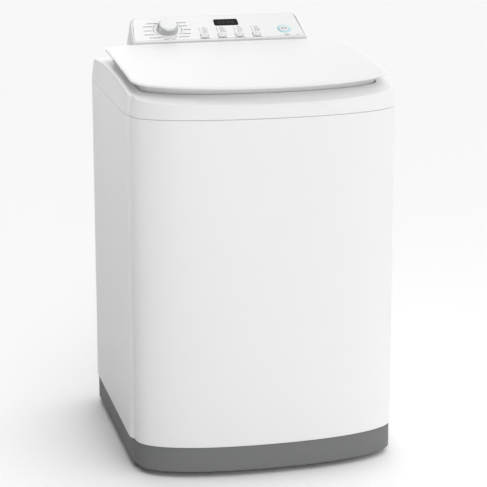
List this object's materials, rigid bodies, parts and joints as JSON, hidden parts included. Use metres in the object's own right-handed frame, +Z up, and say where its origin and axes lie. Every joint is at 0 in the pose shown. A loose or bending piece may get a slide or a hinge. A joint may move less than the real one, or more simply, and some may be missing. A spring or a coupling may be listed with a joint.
{
  "type": "top load washing machine",
  "caption": "White top load washing machine with a bowed front, a hinged lid, a sloping rear console with a dial and buttons, and a spring-hung tub, basket and agitator.",
  "frame": {"origin": "middle of the footprint, on the floor under the feet", "axes": "+Z up, -Y out of the bowed front, +X to the right as seen from the front"},
  "size_m": [0.56, 0.572, 0.8695],
  "materials": {
    "enamel": "smooth white enamel",
    "rear_zinc": "plain zinc coated sheet",
    "plinth_grey": "fine textured grey",
    "rubber": "black rubber",
    "white_plastic": "white moulded plastic, satin",
    "steel": "zinc plated steel",
    "grey_plastic": "grey moulded plastic",
    "fascia_white": "glossy white printed panel",
    "display": "glossy black window",
    "board": "green circuit board",
    "knob_silver": "satin plated plastic",
    "ring_blue": "pale cyan ring",
    "inlet_red": "red moulded plastic",
    "inlet_blue": "blue moulded plastic",
    "tub_plastic": "off-white filled plastic",
    "cast": "cast metal",
    "stainless": "perforated stainless look",
    "agitator": "white moulded plastic",
    "filter_blue": "light blue moulded plastic"
  },
  "bodies": {
    "cabinet": {"cabinet_shell": "enamel", "rear_panel": "rear_zinc", "base_plinth": "plinth_grey", "top_cover": "white_plastic", "hinge_pin_left": "steel", "hinge_pin_right": "steel", "lid_lock": "grey_plastic", "console_housing": "white_plastic", "console_fascia": "fascia_white", "display_window": "display", "control_board": "board", "start_ring": "ring_blue", "inlet_valve_hot": "inlet_red", "inlet_valve_cold": "inlet_blue", "cord_gland": "rubber", "drain_outlet": "grey_plastic", "suspension_rod_front_left": "steel", "suspension_rod_front_right": "steel", "suspension_rod_rear_left": "steel", "suspension_rod_rear_right": "steel", "rod_bracket_front_left": "steel", "rod_bracket_front_right": "steel", "rod_bracket_rear_left": "steel", "rod_bracket_rear_right": "steel", "suspension_spring_front_left": "steel", "suspension_spring_front_right": "steel", "suspension_spring_rear_left": "steel", "suspension_spring_rear_right": "steel"},
    "lid": {"lid_outer": "white_plastic", "lid_inner": "white_plastic"},
    "lock_bolt": {"lock_bolt": "steel"},
    "dial": {"knob_skirt": "knob_silver", "knob_cap": "white_plastic"},
    "temperature_button": {"temperature_button": "white_plastic"},
    "water_level_button": {"water_level_button": "white_plastic"},
    "wash_option_button": {"wash_option_button": "white_plastic"},
    "spin_speed_button": {"spin_speed_button": "white_plastic"},
    "start_button": {"start_button": "white_plastic"},
    "tub": {"tub": "tub_plastic", "tub_ring": "tub_plastic", "mount_plate": "steel", "gearcase": "cast", "motor": "cast", "drain_pump": "grey_plastic", "belt": "rubber"},
    "basket": {"spin_tube": "steel", "basket": "stainless", "balance_ring": "tub_plastic"},
    "agitator": {"agitator_shaft": "steel", "agitator": "agitator"},
    "softener_cup": {"softener_cup": "filter_blue"},
    "lint_filter": {"lint_filter": "filter_blue"},
    "drive_pulley": {"drive_pulley": "cast"},
    "motor_pulley": {"motor_pulley": "steel"},
    "foot_front_left": {"foot_front_left": "rubber"},
    "foot_front_right": {"foot_front_right": "rubber"},
    "foot_rear_left": {"foot_rear_left": "rubber"},
    "foot_rear_right": {"foot_rear_right": "rubber"}
  },
  "joints": [
    {"name": "lid_hinge", "type": "hinge", "parent": "cabinet", "child": "lid", "pos_m": [0, 0.18, 0.806], "axis": [-1, 0, 0], "range_deg": [0, 95]},
    {"name": "dial_turn", "type": "hinge", "parent": "cabinet", "child": "dial", "pos_m": [-0.112, 0.24037, 0.84491], "axis": [0, -0.4515, 0.8923], "continuous": true},
    {"name": "temperature_press", "type": "slide", "parent": "cabinet", "child": "temperature_button", "axis": [0, 0.4515, -0.8923], "range_m": [0, 0.0015], "stiffness_N_per_m": 800, "springref_m": -0.001},
    {"name": "water_level_press", "type": "slide", "parent": "cabinet", "child": "water_level_button", "axis": [0, 0.4515, -0.8923], "range_m": [0, 0.0015], "stiffness_N_per_m": 800, "springref_m": -0.001},
    {"name": "wash_option_press", "type": "slide", "parent": "cabinet", "child": "wash_option_button", "axis": [0, 0.4515, -0.8923], "range_m": [0, 0.0015], "stiffness_N_per_m": 800, "springref_m": -0.001},
    {"name": "spin_speed_press", "type": "slide", "parent": "cabinet", "child": "spin_speed_button", "axis": [0, 0.4515, -0.8923], "range_m": [0, 0.0015], "stiffness_N_per_m": 800, "springref_m": -0.001},
    {"name": "start_press", "type": "slide", "parent": "cabinet", "child": "start_button", "axis": [0, 0.4515, -0.8923], "range_m": [0, 0.0015], "stiffness_N_per_m": 800, "springref_m": -0.001},
    {"name": "lock_bolt_slide", "type": "slide", "parent": "cabinet", "child": "lock_bolt", "axis": [-1, 0, 0], "range_m": [0, 0.008]},
    {"name": "tub_bounce", "type": "slide", "parent": "cabinet", "child": "tub", "axis": [0, 0, 1], "range_m": [-0.025, 0], "stiffness_N_per_m": 14000, "springref_m": 0.025, "deforming": ["suspension_spring_front_left", "suspension_spring_front_right", "suspension_spring_rear_left", "suspension_spring_rear_right"]},
    {"name": "basket_spin", "type": "hinge", "parent": "tub", "child": "basket", "pos_m": [0, -0.012, 0.4], "axis": [0, 0, 1], "continuous": true},
    {"name": "agitator_turn", "type": "hinge", "parent": "tub", "child": "agitator", "pos_m": [0, -0.012, 0.4], "axis": [0, 0, 1], "continuous": true},
    {"name": "drive_pulley_spin", "type": "hinge", "parent": "tub", "child": "drive_pulley", "pos_m": [0, -0.012, 0.129], "axis": [0, 0, 1], "continuous": true},
    {"name": "motor_pulley_spin", "type": "hinge", "parent": "tub", "child": "motor_pulley", "pos_m": [-0.15, 0.105, 0.129], "axis": [0, 0, 1], "continuous": true},
    {"name": "softener_cup_lift", "type": "slide", "parent": "agitator", "child": "softener_cup", "axis": [0, 0, 1], "range_m": [0, 0.1]},
    {"name": "lint_filter_lift", "type": "slide", "parent": "agitator", "child": "lint_filter", "axis": [0, 0, 1], "range_m": [0, 0.1]},
    {"name": "foot_front_left_screw", "type": "slide", "parent": "cabinet", "child": "foot_front_left", "axis": [0, 0, 1], "range_m": [-0.012, 0]},
    {"name": "foot_front_right_screw", "type": "slide", "parent": "cabinet", "child": "foot_front_right", "axis": [0, 0, 1], "range_m": [-0.012, 0]},
    {"name": "foot_rear_left_screw", "type": "slide", "parent": "cabinet", "child": "foot_rear_left", "axis": [0, 0, 1], "range_m": [-0.012, 0]},
    {"name": "foot_rear_right_screw", "type": "slide", "parent": "cabinet", "child": "foot_rear_right", "axis": [0, 0, 1], "range_m": [-0.012, 0]}
  ],
  "couplings": [
    {"joint": "drive_pulley_spin", "follows": "motor_pulley_spin", "ratio": 0.29945}
  ]
}
